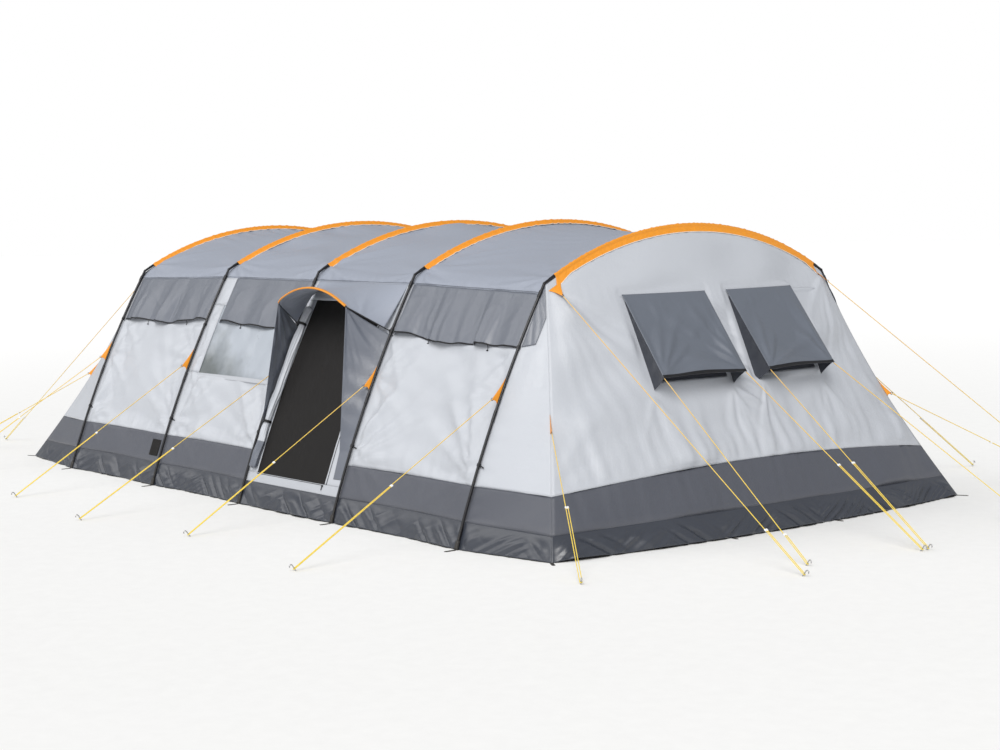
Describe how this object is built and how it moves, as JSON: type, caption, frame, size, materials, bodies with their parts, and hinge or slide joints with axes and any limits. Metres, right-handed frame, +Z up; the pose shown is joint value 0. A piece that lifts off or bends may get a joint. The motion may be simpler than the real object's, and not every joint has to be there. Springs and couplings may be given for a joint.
{
  "type": "tunnel tent on hoop poles",
  "caption": "Family tunnel tent on bent poles with tubular legs, a hooded side porch, mesh door, window flaps, valances, mud flap and pegged guy ropes.",
  "frame": {"origin": "middle of the groundsheet's lower face, on the ground, halfway between the two end walls' feet", "axes": "+X along the tent towards the end with two window flaps, -Y towards the side with the door, +Z up"},
  "size_m": [10.4424, 6.9966, 2.1592],
  "materials": {
    "groundsheet": "satin woven film",
    "glass_fibre": "gloss",
    "leg_steel": "satin",
    "black_plastic": "matt",
    "pin_steel": "zinc plated",
    "peg_steel": "galvanised",
    "orange_cloth": "coated weave",
    "roof_cloth": "coated weave with a soft sheen",
    "wall_cloth": "coated weave with a soft sheen",
    "strip_cloth": "coated weave",
    "band_cloth": "coated weave",
    "mud_flap_film": "glossy film",
    "valance_cloth": "coated weave",
    "flap_cloth": "coated weave",
    "mesh": "fine open mesh",
    "webbing": "woven tape",
    "clear_film": "clear flexible film",
    "guy_rope": "braided",
    "runner_plastic": "gloss"
  },
  "bodies": {
    "tent": {"groundsheet": "groundsheet", "roof_poles": "glass_fibre", "leg_poles": "leg_steel", "shoulder_elbows": "black_plastic", "pin_feet": "pin_steel", "pole_clips": "black_plastic", "brow_pole": "glass_fibre", "brow_sockets": "black_plastic", "pole_sleeves": "orange_cloth", "roof_panel_1": "roof_cloth", "roof_panel_2": "roof_cloth", "roof_panel_3": "roof_cloth", "roof_panel_4": "roof_cloth", "near_wall_1": "wall_cloth", "near_wall_2": "wall_cloth", "near_wall_4": "wall_cloth", "door_wall": "wall_cloth", "far_wall": "wall_cloth", "front_wall": "wall_cloth", "rear_wall": "wall_cloth", "corner_gores": "wall_cloth", "ground_band": "band_cloth", "mud_flap": "mud_flap_film", "porch_canopy": "roof_cloth", "porch_cheek_left": "valance_cloth", "porch_cheek_right": "valance_cloth", "brow_sleeve": "orange_cloth", "door_sill_strip": "strip_cloth", "mesh_door": "mesh", "rolled_door": "wall_cloth", "door_ties": "webbing", "far_valances": "valance_cloth", "side_window_pane": "clear_film", "front_window_panes": "clear_film", "flap_gussets_near": "flap_cloth", "flap_gussets_far": "flap_cloth", "low_vent": "mesh", "leg_pull_outs": "orange_cloth", "guy_tabs": "orange_cloth", "guy_ropes": "guy_rope", "flap_ropes": "guy_rope", "pegs": "peg_steel", "peg_loops": "webbing", "other_runners": "runner_plastic"},
    "window_flap_near": {"window_flap_near": "flap_cloth"},
    "window_flap_far": {"window_flap_far": "flap_cloth"},
    "valance_1": {"valance_1": "valance_cloth"},
    "valance_2": {"valance_2": "valance_cloth"},
    "valance_4": {"valance_4": "valance_cloth"},
    "door_edge": {"door_edge_tape": "strip_cloth"},
    "zip_slider": {"door_zip_slider": "black_plastic"},
    "runner_leg_1": {"runner_leg_1": "runner_plastic"},
    "runner_leg_2": {"runner_leg_2": "runner_plastic"},
    "runner_leg_3": {"runner_leg_3": "runner_plastic"},
    "runner_leg_4": {"runner_leg_4": "runner_plastic"},
    "runner_leg_5": {"runner_leg_5": "runner_plastic"},
    "runner_corner": {"runner_corner": "runner_plastic"},
    "runner_shoulder": {"runner_shoulder": "runner_plastic"},
    "runner_flap_near": {"runner_flap_near": "runner_plastic"},
    "runner_flap_far": {"runner_flap_far": "runner_plastic"}
  },
  "joints": [
    {"name": "window_flap_near_tilt", "type": "hinge", "parent": "tent", "child": "window_flap_near", "pos_m": [3.21182, -0.476, 1.643], "axis": [-0.0819, -0.9966, 0], "range_deg": [-8, 0], "deforming": ["flap_gussets_near"]},
    {"name": "window_flap_far_tilt", "type": "hinge", "parent": "tent", "child": "window_flap_far", "pos_m": [3.21182, 0.476, 1.643], "axis": [0.0819, -0.9966, 0], "range_deg": [-8, 0], "deforming": ["flap_gussets_far"]},
    {"name": "valance_1_lift", "type": "hinge", "parent": "tent", "child": "valance_1", "pos_m": [-1.96, -1.41531, 1.686], "axis": [-0.9997, -0.0005, -0.0233], "range_deg": [0, 60]},
    {"name": "valance_2_lift", "type": "hinge", "parent": "tent", "child": "valance_2", "pos_m": [-0.51, -1.41492, 1.7035], "axis": [-1, 0, 0], "range_deg": [0, 60]},
    {"name": "valance_4_lift", "type": "hinge", "parent": "tent", "child": "valance_4", "pos_m": [2.24, -1.41531, 1.686], "axis": [-0.9997, 0.0005, 0.0233], "range_deg": [0, 60]},
    {"name": "door_open", "type": "slide", "parent": "tent", "child": "door_edge", "axis": [-1, 0, 0], "range_m": [0, 0.85], "deforming": ["mesh_door"]},
    {"name": "door_zip", "type": "slide", "parent": "tent", "child": "zip_slider", "axis": [-1, 0, 0], "range_m": [0, 0.85]},
    {"name": "runner_leg_1_slide", "type": "slide", "parent": "tent", "child": "runner_leg_1", "axis": [0.2208, 0.796, 0.5636], "range_m": [-0.15, 0.15]},
    {"name": "runner_leg_2_slide", "type": "slide", "parent": "tent", "child": "runner_leg_2", "axis": [0.1073, 0.8276, 0.551], "range_m": [-0.15, 0.15]},
    {"name": "runner_leg_3_slide", "type": "slide", "parent": "tent", "child": "runner_leg_3", "axis": [0.0752, 0.8527, 0.517], "range_m": [-0.15, 0.15]},
    {"name": "runner_leg_4_slide", "type": "slide", "parent": "tent", "child": "runner_leg_4", "axis": [0.1396, 0.8084, 0.5718], "range_m": [-0.15, 0.15]},
    {"name": "runner_leg_5_slide", "type": "slide", "parent": "tent", "child": "runner_leg_5", "axis": [0.0673, 0.8424, 0.5347], "range_m": [-0.15, 0.15]},
    {"name": "runner_corner_slide", "type": "slide", "parent": "tent", "child": "runner_corner", "axis": [-0.7127, 0.4548, 0.5341], "range_m": [-0.15, 0.15]},
    {"name": "runner_shoulder_slide", "type": "slide", "parent": "tent", "child": "runner_shoulder", "axis": [-0.7853, -0.0409, 0.6177], "range_m": [-0.15, 0.15]},
    {"name": "runner_flap_near_slide", "type": "slide", "parent": "tent", "child": "runner_flap_near", "axis": [-0.8082, -0.0474, 0.5871], "range_m": [-0.15, 0.15]},
    {"name": "runner_flap_far_slide", "type": "slide", "parent": "tent", "child": "runner_flap_far", "axis": [-0.8076, 0.0554, 0.5871], "range_m": [-0.15, 0.15]}
  ]
}
